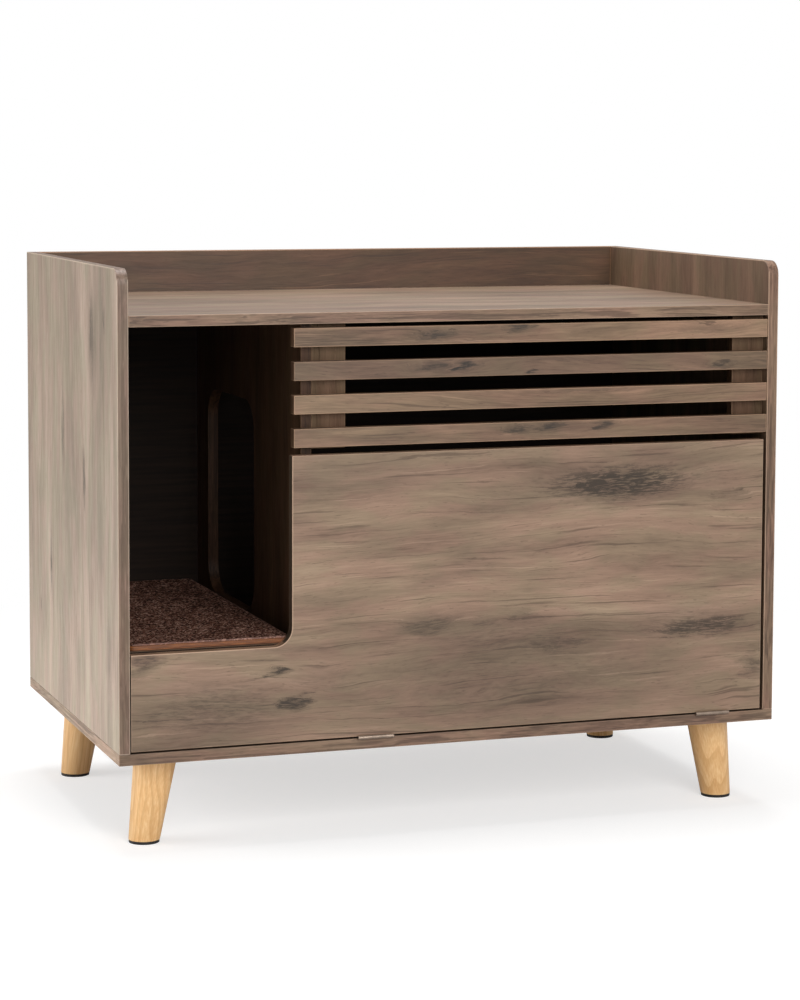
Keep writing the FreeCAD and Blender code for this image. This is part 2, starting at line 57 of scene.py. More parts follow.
LEGS = ("front_left", "front_right", "back_left", "back_right")
LEG_SPLAY = math.radians(8)
PAD_CORNER = 9 * MM
TUFT_ROOM = 0.6 * MM           # how far under the carpet's top its flat pile lies, before the tufts rise

# The floor as the camera sees it: its grey in the object's shadow, what is added to that, and where it fades.
FLOOR_SHADE = 0.52
FLOOR_LIFT = 0.59
FLOOR_FADE = (0.9, 1.7)

# The room's light on the object, and the share of its white that a glossy surface mirrors.
ROOM_LIGHT = 0.26
ROOM_SHINE = 0.35


# ---------------------------------------------------------------- nodes and colours


def linear(code, tone=1.0):
    """The linear colour of an sRGB hex code, made darker or lighter by tone."""
    parts = [int(code[i : i + 2], 16) / 255 for i in (1, 3, 5)]
    parts = [p / 12.92 if p <= 0.04045 else ((p + 0.055) / 1.055) ** 2.4 for p in parts]
    return (*[min(1.0, p * tone) for p in parts], 1.0)


def add_node(tree, kind, sockets=None, out=0, stops=None, **settings):
    """Adds a node with its settings, gives each socket a value or a link, and returns one output."""
    node = tree.nodes.new(kind)
    for name, value in settings.items():
        setattr(node, name, value)
    for socket, value in (sockets or {}).items():
        if isinstance(value, bpy.types.NodeSocket):
            tree.links.new(value, node.inputs[socket])
        else:
            node.inputs[socket].default_value = value
    if stops:
        ramp = node.color_ramp
        while len(ramp.elements) < len(stops):
            ramp.elements.new(1.0)
        for element, (place, colour) in zip(ramp.elements, stops):
            element.position = place
            element.color = colour
    return node.outputs[out] if node.outputs else node


def new_material(name):
    """An empty node material, with its tree."""
    material = bpy.data.materials.new(name)
    material.use_nodes = True
    material.node_tree.nodes.clear()
    return material, material.node_tree


def finish_surface(tree, bump_height, bump_depth, bump_strength, **shader):
    """Ends a material in one Principled shader; bump_depth is in millimetres."""
    sockets = {name.replace("_", " "): value for name, value in shader.items()}
    sockets["Normal"] = add_node(
        tree,
        "ShaderNodeBump",
        {"Height": bump_height, "Distance": bump_depth * MM, "Strength": bump_strength},
    )
    surface = add_node(tree, "ShaderNodeBsdfPrincipled", sockets)
    add_node(tree, "ShaderNodeOutputMaterial", {"Surface": surface})


def give(material, *names):
    """Puts one material on CAD nodes, in place of their plain one."""
    for name in names:
        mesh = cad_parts[name].data
        mesh.materials.clear()
        mesh.materials.append(material)


# ---------------------------------------------------------------- printed oak board


def grain_place(tree, grain, across, shift):
    """Millimetres along the grain, across it and through the board, turned on the ends so that their bands
    run lengthways too, and which faces are bands, which are ends, and which way each face looks."""
    through = 3 - grain - across
    place = add_node(tree, "ShaderNodeTexCoord", out=3)
    facing = add_node(tree, "ShaderNodeTexCoord", out=1)
    split = tree.nodes.new("ShaderNodeSeparateXYZ")
    turned = tree.nodes.new("ShaderNodeSeparateXYZ")
    millimetres = add_node(tree, "ShaderNodeVectorMath", {0: place, "Scale": 1 / MM}, operation="SCALE")
    tree.links.new(millimetres, split.inputs[0])
    tree.links.new(facing, turned.inputs[0])
    along, over, deep = (split.outputs[i] for i in (grain, across, through))
    lie = add_node(tree, "ShaderNodeCombineXYZ", {0: along, 1: over, 2: deep})
    end_lie = add_node(tree, "ShaderNodeCombineXYZ", {0: over, 1: deep, 2: along})
    end_turn = add_node(tree, "ShaderNodeMath", {0: turned.outputs[grain]}, operation="ABSOLUTE")
    end = add_node(tree, "ShaderNodeMath", {0: end_turn, 1: 0.6}, operation="GREATER_THAN")
    mixed = add_node(tree, "ShaderNodeMix", {0: end, 4: lie, 5: end_lie}, out=1, data_type="VECTOR")
    moved = add_node(
        tree, "ShaderNodeVectorMath", {0: mixed, 1: (shift, shift * 0.63, shift * 0.29)}, operation="ADD"
    )
    face_turn = add_node(tree, "ShaderNodeMath", {0: turned.outputs[through]}, operation="ABSOLUTE")
    band = add_node(tree, "ShaderNodeMath", {0: face_turn, 1: 0.6}, operation="LESS_THAN")
    return lie, moved, (band, end, turned.outputs[through])


def stretched_noise(tree, place, length, width, detail=2.0, roughness=0.5):
    """Noise with marks of a real length and width in millimetres, drawn out along the grain."""
    scaled = add_node(
        tree,
        "ShaderNodeVectorMath",
        {0: place, 1: (1 / length, 1 / width, 1 / width)},
        operation="MULTIPLY",
    )
    return add_node(
        tree, "ShaderNodeTexNoise", {"Vector": scaled, "Scale": 1.0, "Detail": detail, "Roughness": roughness}
    )


def rise(tree, value, low, high, to=1.0, start=0.0):
    """Goes smoothly from start to the value to, as value goes from low to high."""
    return add_node(
        tree,
        "ShaderNodeMapRange",
        {"Value": value, "From Min": low, "From Max": high, "To Min": start, "To Max": to},
        interpolation_type="SMOOTHSTEP",
    )


def knot_marks(tree, lie, knots):
    """How dark each place is with knots. A knot is given by its middle along and across the grain, its
    length, its height and its darkness."""
    ragged = stretched_noise(tree, lie, 52, 8, detail=4.0, roughness=0.65)
    off = add_node(tree, "ShaderNodeMath", {0: ragged, 1: 0.5}, operation="SUBTRACT")
    push = add_node(tree, "ShaderNodeCombineXYZ", {0: off, 1: off, 2: 0.0})
    # A knot's outline is pushed about by up to 45 mm along the grain and 13 mm across it.
    pushed = add_node(
        tree, "ShaderNodeVectorMath", {0: push, 1: (90, 26, 0), 2: lie}, operation="MULTIPLY_ADD"
    )
    most = None
    for along, across, length, height, dark in knots:
        away = add_node(
            tree, "ShaderNodeVectorMath", {0: pushed, 1: (along, across, 0)}, operation="SUBTRACT"
        )
        round_off = add_node(
            tree, "ShaderNodeVectorMath", {0: away, 1: (2 / length, 2 / height, 0)}, operation="MULTIPLY"
        )
        reach = add_node(tree, "ShaderNodeVectorMath", {0: round_off}, out=1, operation="LENGTH")
        mark = rise(tree, reach, 1.0, 0.15, to=dark)
        if most is None:
            most = mark
        else:
            most = add_node(tree, "ShaderNodeMath", {0: most, 1: mark}, operation="MAXIMUM")
    return most


def inset(tree, box):
    """How far inside its box each place is along x, y and z, in metres, as three outputs."""
    low, high = box
    place = add_node(tree, "ShaderNodeTexCoord", out=3)
    away = add_node(tree, "ShaderNodeVectorMath", {0: place, 1: (low + high) / 2}, operation="SUBTRACT")
    size = add_node(tree, "ShaderNodeVectorMath", {0: away}, operation="ABSOLUTE")
    inside = add_node(tree, "ShaderNodeVectorMath", {0: (high - low) / 2, 1: size}, operation="SUBTRACT")
    split = tree.nodes.new("ShaderNodeSeparateXYZ")
    tree.links.new(inside, split.inputs[0])
    return split.outputs


def arris_highlight_mask(tree, box, notch=None):
    """One on the rounded arris round a board, and nothing elsewhere, from the board's own box; it marks where
    the painted highlight goes. A board with a notch is marked most round the notch."""
    x, y, z = inset(tree, box)
    least = add_node(tree, "ShaderNodeMath", {0: x, 1: y}, operation="MINIMUM")
    more = add_node(tree, "ShaderNodeMath", {0: x, 1: y}, operation="MAXIMUM")
    other = add_node(tree, "ShaderNodeMath", {0: more, 1: z}, operation="MINIMUM")
    second = add_node(tree, "ShaderNodeMath", {0: least, 1: other}, operation="MAXIMUM")
    mark = rise(tree, second, 1.5 * MM, 0.5 * MM, to=0.3 if notch else 1.0)
    if notch:
        upright, sill, radius = notch
        centre = (upright - radius, 0.0, -sill - radius)
        place = add_node(tree, "ShaderNodeTexCoord", out=3)
        flipped = add_node(
            tree,
            "ShaderNodeVectorMath",
            {0: place, 1: (1, 0, -1), 2: [-c for c in centre]},
            operation="MULTIPLY_ADD",
        )
        past = add_node(tree, "ShaderNodeVectorMath", {0: flipped, 1: (0, 0, 0)}, operation="MAXIMUM")
        reach = add_node(tree, "ShaderNodeVectorMath", {0: past}, out=1, operation="LENGTH")
        from_notch = add_node(tree, "ShaderNodeMath", {0: reach, 1: radius}, operation="SUBTRACT")
        notch_arris = add_node(tree, "ShaderNodeMath", {0: from_notch, 1: y}, operation="MAXIMUM")
        notch_mark = rise(tree, notch_arris, 1.5 * MM, 0.5 * MM)
        mark = add_node(tree, "ShaderNodeMath", {0: mark, 1: notch_mark}, operation="MAXIMUM")
    return mark


def printed_oak(
    name,
    box,
    lie_of_grain,
    print_colours,
    tone=1.0,
    shift=0.0,
    knots=(),
    notch=None,
    band_width=22.0,
    rub=0.5,
    gloss=0.5,
    smokiness=0.42,
    line_weight=0.42,
    **faces,
):
    """Melamine paper printed as weathered grey-brown oak, pressed with a shallow pore texture and lacquered
    satin. Its grain lines bend round dark knots, with smoky patches between rosy and olive ones."""
    material, tree = new_material(name)
    grain, across = lie_of_grain
    dark, brown, light, pale, vein_code, stain_code = print_colours
    lie, place, facing = grain_place(tree, grain, across, shift)
    knot = knot_marks(tree, lie, knots) if knots else 0.0

    # The lines wander by a few centimetres over the board and bulge at each knot.
    wander = stretched_noise(tree, place, 620, 150, detail=1.0)
    quiver = stretched_noise(tree, place, 95, 24, detail=3.0)
    wandered = add_node(tree, "ShaderNodeMath", {0: wander, 1: 75.0}, operation="MULTIPLY")
    quivered = add_node(tree, "ShaderNodeMath", {0: quiver, 1: 10.0, 2: wandered}, operation="MULTIPLY_ADD")
    bulged = add_node(tree, "ShaderNodeMath", {0: knot, 1: 14.0, 2: quivered}, operation="MULTIPLY_ADD")
    shove = add_node(tree, "ShaderNodeCombineXYZ", {0: 0.0, 1: bulged, 2: 0.0})
    flow = add_node(tree, "ShaderNodeVectorMath", {0: place, 1: shove}, operation="ADD")

    broad = stretched_noise(tree, flow, 400, 75, detail=2.0)
    bands = stretched_noise(tree, flow, 190, band_width, detail=6.0, roughness=0.62)
    lines = stretched_noise(tree, flow, 40, 2.3, detail=3.0, roughness=0.65)
    veins = stretched_noise(tree, flow, 190, 3.6, detail=2.0)
    pores = stretched_noise(tree, flow, 14, 1.5, detail=1.0)
    patch = stretched_noise(tree, flow, 90, 30, detail=3.0)
    smoke = stretched_noise(tree, flow, 210, 40, detail=4.0, roughness=0.6)
    checks = stretched_noise(tree, flow, 20, 2.6, detail=4.0, roughness=0.7)

    # Light and dark come from the three widths of band together; an edge band's lines are stronger.
    middle = add_node(
        tree, "ShaderNodeMath", {0: facing[0], 1: -0.30, 2: -0.32 - line_weight / 2}, operation="MULTIPLY_ADD"
    )
    broad_level = add_node(
        tree, "ShaderNodeMath", {0: broad, 1: 0.75, 2: middle}, operation="MULTIPLY_ADD"
    )
    band_level = add_node(
        tree, "ShaderNodeMath", {0: bands, 1: 0.85, 2: broad_level}, operation="MULTIPLY_ADD"
    )
    weight = add_node(
        tree, "ShaderNodeMath", {0: facing[0], 1: 0.60, 2: line_weight}, operation="MULTIPLY_ADD"
    )
    level = add_node(tree, "ShaderNodeMath", {0: lines, 1: weight, 2: band_level}, operation="MULTIPLY_ADD")
    wood = add_node(
        tree,
        "ShaderNodeValToRGB",
        {0: level},
        stops=[
            (0.18, linear(dark, tone)),
            (0.40, linear(brown, tone)),
            (0.56, linear(light, tone)),
            (0.80, linear(pale, tone)),
        ],
    )
    warm = rise(tree, patch, 0.38, 0.62)
    tint = add_node(
        tree,
        "ShaderNodeMix",
        {0: warm, 6: (0.95, 0.99, 0.94, 1.0), 7: (1.05, 0.99, 1.0, 1.0)},
        out=2,
        data_type="RGBA",
    )
    tinted = add_node(
        tree, "ShaderNodeMix", {0: 1.0, 6: wood, 7: tint}, out=2, data_type="RGBA", blend_type="MULTIPLY"
    )

    # Long veins, a few pale and more dark, then the pores.
    deeper = add_node(tree, "ShaderNodeMath", {0: facing[0], 1: -0.10, 2: veins}, operation="MULTIPLY_ADD")
    dark_vein = rise(tree, deeper, 0.38, 0.31, to=0.55)
    pale_vein = rise(tree, veins, 0.66, 0.73, to=0.45)
    veined = add_node(
        tree, "ShaderNodeMix", {0: dark_vein, 6: tinted, 7: linear(vein_code, tone)}, out=2, data_type="RGBA"
    )
    streaked = add_node(
        tree,
        "ShaderNodeMix",
        {0: pale_vein, 6: veined, 7: linear(pale, tone * 1.18)},
        out=2,
        data_type="RGBA",
    )
    speck = rise(tree, pores, 0.67, 0.73, to=0.35)
    specked = add_node(
        tree, "ShaderNodeMix", {0: speck, 6: streaked, 7: linear(vein_code, tone)}, out=2, data_type="RGBA"
    )

    # Smoky patches and the wood round a knot are charcoal: a haze, with short dark checks in it.
    haze = rise(tree, smoke, 0.54, 0.74, to=smokiness)
    burnt = add_node(tree, "ShaderNodeMath", {0: haze, 1: knot}, operation="MAXIMUM")
    closeness = add_node(tree, "ShaderNodeMath", {0: burnt, 1: 0.22, 2: checks}, operation="MULTIPLY_ADD")
    check = rise(tree, closeness, 0.59, 0.71)
    check_ink = rise(tree, burnt, 0.25, 0.95)
    ink = add_node(tree, "ShaderNodeMath", {0: check, 1: check_ink}, operation="MULTIPLY")
    haze_ink = add_node(tree, "ShaderNodeMath", {0: burnt, 1: 0.66}, operation="MULTIPLY")
    stain = add_node(
        tree, "ShaderNodeMath", {0: ink, 1: 0.44, 2: haze_ink}, operation="MULTIPLY_ADD", use_clamp=True
    )
    stained = add_node(
        tree, "ShaderNodeMix", {0: stain, 6: specked, 7: linear(stain_code, tone)}, out=2, data_type="RGBA"
    )

    sheet = face_tones(tree, stained, facing, **faces)
    # Painted highlight: the arris is mixed towards a paler print, where light would catch the edge.
    rubbed = add_node(tree, "ShaderNodeMath", {0: arris_highlight_mask(tree, box, notch), 1: rub}, operation="MULTIPLY")
    colour = add_node(
        tree, "ShaderNodeMix", {0: rubbed, 6: sheet, 7: linear(pale, tone * 1.5)}, out=2, data_type="RGBA"
    )
    roughness = rise(tree, lines, 0.35, 0.65, start=0.52, to=0.44)
    depth = add_node(tree, "ShaderNodeMath", {0: pores, 1: -0.6, 2: lines}, operation="MULTIPLY_ADD")
    finish_surface(
        tree,
        depth,
        bump_depth=0.12,
        bump_strength=0.6,
        Base_Color=colour,
        Roughness=roughness,
        Specular_IOR_Level=gloss,
        IOR=1.5,
    )
    return material


def face_tones(
    tree,
    colour,
    facing,
    band_tone=0.9,
    band_warmth=0.08,
    end_tone=1.0,
    foot_tone=1.0,
    inner=0,
    inner_tone=0.36,
):
    """Edge bands are a rosier print, the face that looks into the cabinet gets painted shade as a darker
    sheet, and a side panel gets painted bounce light, paler towards its foot. The number inner says which way
    a board's inner face looks, and is 0 where it has none."""
    band, end, face = facing
    band_tint = (band_tone, band_tone * (1 - band_warmth), band_tone * (1 - 1.4 * band_warmth), 1.0)
    shade = add_node(
        tree, "ShaderNodeMix", {0: band, 6: WHITE, 7: band_tint}, out=2, data_type="RGBA"
    )
    if end_tone != 1.0:
        end_tint = (end_tone, end_tone * 1.12, end_tone * 1.18, 1.0)
        ended = add_node(
            tree, "ShaderNodeMix", {0: end, 6: WHITE, 7: end_tint}, out=2, data_type="RGBA"
        )
        shade = add_node(
            tree,
            "ShaderNodeMix",
            {0: 1.0, 6: shade, 7: ended},
            out=2,
            data_type="RGBA",
            blend_type="MULTIPLY",
        )
    # Painted bounce light: the sheet is made paler towards the floor, as light from the floor would make it.
    if foot_tone != 1.0:
        place = add_node(tree, "ShaderNodeTexCoord", out=3)
        split = tree.nodes.new("ShaderNodeSeparateXYZ")
        tree.links.new(place, split.inputs[0])
        foot = rise(tree, split.outputs[2], 470 * MM, 120 * MM, start=1.0, to=foot_tone)
        grey = add_node(tree, "ShaderNodeCombineXYZ", {0: foot, 1: foot, 2: foot})
        shade = add_node(
            tree, "ShaderNodeMix", {0: 1.0, 6: shade, 7: grey}, out=2, data_type="RGBA", blend_type="MULTIPLY"
        )
    # Painted shade: the face that looks into the cabinet gets a darker tint, standing in for the shade inside
    # it.
    if inner:
        painted_shade_tint = (inner_tone, inner_tone * 0.95, inner_tone * 0.90, 1.0)
        turned = add_node(tree, "ShaderNodeMath", {0: face, 1: float(inner)}, operation="MULTIPLY")
        side = add_node(tree, "ShaderNodeMath", {0: turned, 1: 0.6}, operation="GREATER_THAN")
        darker = add_node(
            tree, "ShaderNodeMix", {0: side, 6: WHITE, 7: painted_shade_tint}, out=2, data_type="RGBA"
        )
        shade = add_node(
            tree,
            "ShaderNodeMix",
            {0: 1.0, 6: shade, 7: darker},
            out=2,
            data_type="RGBA",
            blend_type="MULTIPLY",
        )
    return add_node(
        tree, "ShaderNodeMix", {0: 1.0, 6: colour, 7: shade}, out=2, data_type="RGBA", blend_type="MULTIPLY"
    )


# The print's colours: dark, brown, light and pale wood, then its veins and its burnt marks.
FRONT_PRINT = ("#6a5442", "#886f5b", "#967c66", "#ac9079", "#4b3728", "#382b1e")
SHADED_PRINT = ("#5a412f", "#765841", "#85644b", "#9b785b", "#463228", "#35281d")
SLAT_PRINT = ("#6a513d", "#886b54", "#96785f", "#ac8b6f", "#4b3524", "#33271b")
# The side panel's print is paler and greyer than the front's: partly its own print, partly painted sheen and
# cooler light on that side.
SIDE_PRINT_AND_SHEEN = ("#7f6f61", "#948372", "#a2907e", "#b4a391", "#74644f", "#5f5345")
GRAIN_ALONG_CABINET = (ALONG_X, ALONG_Z)
GRAIN_ALONG_TOP = (ALONG_X, ALONG_Y)
GRAIN_UP_SIDE = (ALONG_Z, ALONG_Y)
GRAIN_UP_FRONT = (ALONG_Z, ALONG_X)

# Knots and smears of the print, in millimetres: middle along and across the grain, length, height, darkness.
DOOR_KNOTS = (
    (80, 200, 1100, 230, 0.52),
    (-340, 186, 480, 150, 0.62),
    (300, 470, 620, 130, 0.50),
    (-150, 490, 460, 90, 0.34),
    (251, 458, 40, 26, 1.00),
    (187, 461, 160, 34, 0.98),
    (235, 464, 460, 100, 0.88),
    (85, 446, 260, 66, 0.44),
    (397, 441, 130, 44, 0.55),
    (360, 258, 300, 54, 0.82),
    (330, 264, 460, 90, 0.56),
    (435, 198, 80, 64, 0.66),
    (-45, 280, 170, 60, 0.66),
    (40, 282, 90, 40, 0.62),
    (90, 286, 80, 36, 0.60),
    (135, 246, 230, 54, 0.66),
    (60, 262, 480, 110, 0.56),
    (-232, 189, 90, 44, 0.90),
    (-259, 232, 60, 20, 0.90),
    (-180, 215, 260, 90, 0.48),
    (-440, 254, 70, 60, 0.70),
    (-410, 181, 220, 26, 0.60),
)
SIDE_KNOTS = (
    (667, -133, 190, 60, 0.80),
    (699, -204, 40, 18, 0.95),
    (473, -84, 130, 24, 0.95),
    (526, 46, 200, 28, 0.80),
    (332, 127, 160, 26, 0.80),
    (255, -225, 160, 50, 0.60),
    (260, 199, 22, 16, 0.95),
    (250, 40, 320, 90, 0.34),
)
SLAT_KNOTS = (
    ((-36, 672, 90, 26, 0.80), (83, 681, 76, 24, 0.80), (20, 674, 260, 30, 0.40), (374, 674, 140, 24, 0.50)),
    ((-40, 628, 90, 26, 0.70), (5, 630, 56, 22, 0.85), (99, 619, 18, 9, 0.85), (385, 624, 50, 18, 0.75)),
    ((-20, 580, 10, 12, 0.80), (170, 592, 200, 14, 0.35)),
    ((88, 543, 76, 24, 0.72), (131, 545, 66, 22, 0.80), (201, 543, 76, 20, 0.78), (140, 542, 260, 30, 0.40)),
)
# The slats' tones, from the top one down.
SLAT_TONES = (0.76, 0.49, 0.73, 0.63)


def board(node, lie_of_grain, print_colours=FRONT_PRINT, **print_settings):
    """Gives one board its own sheet of the print, so that no two boards match."""
    give(printed_oak(f"oak_print_{node}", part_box(node), lie_of_grain, print_colours, **print_settings), node)


def finish_boards():
    """The print on every board: upright grain on the sides, and grain from left to right on the rest."""
    # The door's notch at the entrance: its upright edge, its sill and the radius between them.
    entrance = (
        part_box("scratch_pad_board")[1].x - 2.0 * MM,
        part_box("entrance_platform")[1].z - 2.5 * MM,
        25 * MM,
    )
    board(
        "door_panel",
        GRAIN_ALONG_CABINET,
        tone=0.94,
        shift=130.0,
        knots=DOOR_KNOTS,
        notch=entrance,
        rub=0.85,
        band_tone=1.3,
        # The door's end faces are painted shade for the dark gaps beside it, and its inner face gets painted
        # shade too.
        end_tone=0.3,
        inner=1,
    )
    board(
        "left_side_panel",
        GRAIN_UP_SIDE,
        SIDE_PRINT_AND_SHEEN,
        shift=610.0,
        knots=SIDE_KNOTS,
        band_width=26.0,
        smokiness=0.20,
        band_tone=0.50,
        band_warmth=0.17,
        # Painted bounce light, paler towards the foot.
        foot_tone=1.35,
        # The side panel's inner face gets painted shade.
        inner=1,
        inner_tone=0.26,
    )
    # The right side panel's inner face gets painted shade.
    board("right_side_panel", GRAIN_UP_SIDE, shift=1930.0, band_tone=0.80, inner=-1, inner_tone=0.60)
    board(
        "base_panel",
        GRAIN_ALONG_TOP,
        shift=2470.0,
        rub=0.15,
        band_tone=0.67,
        end_tone=2.10,
        # The base's top inside the cabinet gets painted shade.
        inner=1,
        inner_tone=0.24,
    )
    # The tabletop's underside gets painted shade.
    board("tabletop", GRAIN_ALONG_TOP, tone=0.76, shift=3310.0, inner=-1)
    # The rail's front face gets painted shade.
    board(
        "back_rail", GRAIN_ALONG_CABINET, SHADED_PRINT, tone=1.2, shift=4120.0, inner=-1, inner_tone=0.46
    )
    # The divider's low tone is painted shade inside the cabinet.
    board("divider_panel", GRAIN_UP_SIDE, SHADED_PRINT, tone=0.35, shift=5090.0, gloss=0.2)
    # The platform sits in the dark behind the door: its low tone and near-black front edge are painted shade.
    board(
        "entrance_platform",
        GRAIN_ALONG_TOP,
        SHADED_PRINT,
        tone=0.40,
        shift=5770.0,
        gloss=0.2,
        band_tone=0.22,
    )
    for count, (knots, tone) in enumerate(zip(SLAT_KNOTS, SLAT_TONES), start=1):
        board(
            f"louvre_slat_{count}",
            GRAIN_ALONG_CABINET,
            SLAT_PRINT,
            shift=6000.0 + 710.0 * count,
            knots=knots,
            tone=tone * 1.05,
            band_width=12.0,
            line_weight=0.72,
        )
    # The battens sit behind the slats: their low tone is painted shade.
    for count, side in enumerate(("left", "right")):
        board(
            f"louvre_batten_{side}",
            GRAIN_UP_FRONT,
            SLAT_PRINT,
            tone=0.47,
            shift=9100.0 + 830.0 * count,
            gloss=0.1,
        )


# ---------------------------------------------------------------- the rest of the materials


def hardboard_back():
    """Thin hardboard, pressed from brown fibre: the room side is bare and finely felted, and the inner side is
    painted near black, as painted shade inside the cabinet."""
    material, tree = new_material("hardboard_back")
    place = add_node(tree, "ShaderNodeTexCoord", out=3)
    facing = add_node(tree, "ShaderNodeTexCoord", out=1)
    millimetres = add_node(tree, "ShaderNodeVectorMath", {0: place, "Scale": 1 / MM}, operation="SCALE")
    fibre = stretched_noise(tree, millimetres, 5.0, 5.0, detail=5.0, roughness=0.7)
    cloud = stretched_noise(tree, millimetres, 90.0, 90.0, detail=3.0)
    level = add_node(tree, "ShaderNodeMath", {0: cloud, 1: 0.35, 2: fibre}, operation="MULTIPLY_ADD")
    bare = add_node(
        tree,
        "ShaderNodeValToRGB",
        {0: level},
        stops=[(0.50, linear("#7c5b40")), (0.67, linear("#936f4f")), (0.85, linear("#a9855f"))],
    )
    turned = tree.nodes.new("ShaderNodeSeparateXYZ")
    tree.links.new(facing, turned.inputs[0])
    inside = add_node(tree, "ShaderNodeMath", {0: turned.outputs[1], 1: 0.0}, operation="LESS_THAN")
    # Painted shade: the inner side's near-black sheet stands in for the dark inside the cabinet.
    grain = stretched_noise(tree, millimetres, 140.0, 6.0, detail=3.0)
    printed = add_node(
        tree,
        "ShaderNodeValToRGB",
        {0: grain},
        stops=[(0.35, linear("#1b120d")), (0.65, linear("#271b13"))],
    )
    colour = add_node(tree, "ShaderNodeMix", {0: inside, 6: bare, 7: printed}, out=2, data_type="RGBA")
    finish_surface(
        tree,
        fibre,
        bump_depth=0.15,
        bump_strength=0.5,
        Base_Color=colour,
        Roughness=0.7,
        Specular_IOR_Level=0.2,
        IOR=1.5,
    )
    return material


def lacquered_pine(name, foot, top):
    """Turned pine under clear satin lacquer: honey coloured, with brown late-wood lines down the leg."""
    material, tree = new_material(name)
    lean = (top - foot).to_track_quat("Z", "Y").inverted().to_euler()
    place = add_node(tree, "ShaderNodeTexCoord", out=3)
    moved = add_node(tree, "ShaderNodeVectorMath", {0: place, 1: foot}, operation="SUBTRACT")
    upright = add_node(tree, "ShaderNodeMapping", {"Vector": moved, "Rotation": lean}, vector_type="POINT")
    millimetres = add_node(tree, "ShaderNodeVectorMath", {0: upright, "Scale": 1 / MM}, operation="SCALE")
    ring_spacing = 10.5
    # The tree's rings cross the leg this many millimetres apart, and bow into long loops.
    sway = add_node(
        tree, "ShaderNodeVectorMath", {0: millimetres, 1: (1 / 30, 1 / 30, 1 / 160)}, operation="MULTIPLY"
    )
    bow = add_node(tree, "ShaderNodeTexNoise", {"Vector": sway, "Scale": 1.0, "Detail": 1.0})
    split = tree.nodes.new("ShaderNodeSeparateXYZ")
    tree.links.new(millimetres, split.inputs[0])
    slant = add_node(
        tree,
        "ShaderNodeMath",
        {0: split.outputs[1], 1: 0.45, 2: split.outputs[0]},
        operation="MULTIPLY_ADD",
    )
    bowed = add_node(tree, "ShaderNodeMath", {0: bow, 1: 36.0, 2: slant}, operation="MULTIPLY_ADD")
    turn = add_node(tree, "ShaderNodeMath", {0: bowed, 1: 1 / ring_spacing}, operation="MULTIPLY")
    ring = add_node(tree, "ShaderNodeMath", {0: turn}, operation="FRACT")
    late = rise(tree, ring, 0.35, 0.92, to=0.42)
    early = rise(tree, ring, 1.0, 0.95)
    line = add_node(tree, "ShaderNodeMath", {0: late, 1: early}, operation="MULTIPLY")
    fine = add_node(
        tree, "ShaderNodeVectorMath", {0: millimetres, 1: (1 / 1.4, 1 / 1.4, 1 / 60)}, operation="MULTIPLY"
    )
    fleck = add_node(tree, "ShaderNodeTexNoise", {"Vector": fine, "Scale": 1.0, "Detail": 2.0})
    pale = add_node(
        tree,
        "ShaderNodeValToRGB",
        {0: fleck},
        stops=[(0.3, linear("#e7b378")), (0.5, linear("#f0c287")), (0.7, linear("#f7cf99"))],
    )
    colour = add_node(
        tree, "ShaderNodeMix", {0: line, 6: pale, 7: linear("#cd9352")}, out=2, data_type="RGBA"
    )
    finish_surface(
        tree, fleck, bump_depth=0.08, bump_strength=0.4, Base_Color=colour, Roughness=0.42, IOR=1.5
    )
    return material


def finish_legs():
    """Each leg's grain runs from its foot up and in towards the middle of the cabinet."""
    low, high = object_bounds()
    middle = (low + high) / 2
    for leg in LEGS:
        pad_low, pad_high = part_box(f"foot_pad_{leg}")
        foot = (pad_low + pad_high) / 2
        top = Vector((foot.x, foot.y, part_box(f"leg_{leg}")[1].z))
        across = middle - foot
        inward = Vector((math.copysign(1, across.x), math.copysign(1, across.y), 0)).normalized()
        top += inward * (top.z - foot.z) * math.tan(LEG_SPLAY)
        give(lacquered_pine(f"lacquered_pine_{leg}", foot, top), f"leg_{leg}")


def moulded_plastic(name, code, roughness=0.45):
    """Injection-moulded polypropylene, with a fine spark-eroded grain that dulls its shine."""
    material, tree = new_material(name)
    place = add_node(tree, "ShaderNodeTexCoord", out=3)
    millimetres = add_node(tree, "ShaderNodeVectorMath", {0: place, "Scale": 1 / MM}, operation="SCALE")
    grain = stretched_noise(tree, millimetres, 0.8, 0.8, detail=2.0)
    cloud = stretched_noise(tree, millimetres, 14.0, 14.0, detail=2.0)
    colour = add_node(
        tree,
        "ShaderNodeValToRGB",
        {0: cloud},
        stops=[(0.3, linear(code, 0.88)), (0.7, linear(code, 1.12))],
    )
    rough = rise(tree, grain, 0.35, 0.65, start=roughness - 0.06, to=roughness + 0.08)
    finish_surface(
        tree, grain, bump_depth=0.05, bump_strength=0.5, Base_Color=colour, Roughness=rough, IOR=1.49
    )
    return material


def plated_metal(name, code, roughness, mark_length=6.0, mark_width=0.5):
    """Metal under bright plating: fine rolling lines, and a tone that drifts as the plate gets thicker."""
    material, tree = new_material(name)
    place = add_node(tree, "ShaderNodeTexCoord", out=3)
    millimetres = add_node(tree, "ShaderNodeVectorMath", {0: place, "Scale": 1 / MM}, operation="SCALE")
    brushed = stretched_noise(tree, millimetres, mark_length, mark_width, detail=2.0)
    cloud = stretched_noise(tree, millimetres, 9.0, 9.0, detail=2.0)
    colour = add_node(
        tree,
        "ShaderNodeValToRGB",
        {0: cloud},
        stops=[(0.3, linear(code, 0.82)), (0.7, linear(code, 1.1))],
    )
    rough = rise(tree, brushed, 0.35, 0.65, start=roughness - 0.05, to=roughness + 0.1)
    finish_surface(
        tree, brushed, bump_depth=0.02, bump_strength=0.4, Base_Color=colour, Roughness=rough, Metallic=1.0
    )
    return material


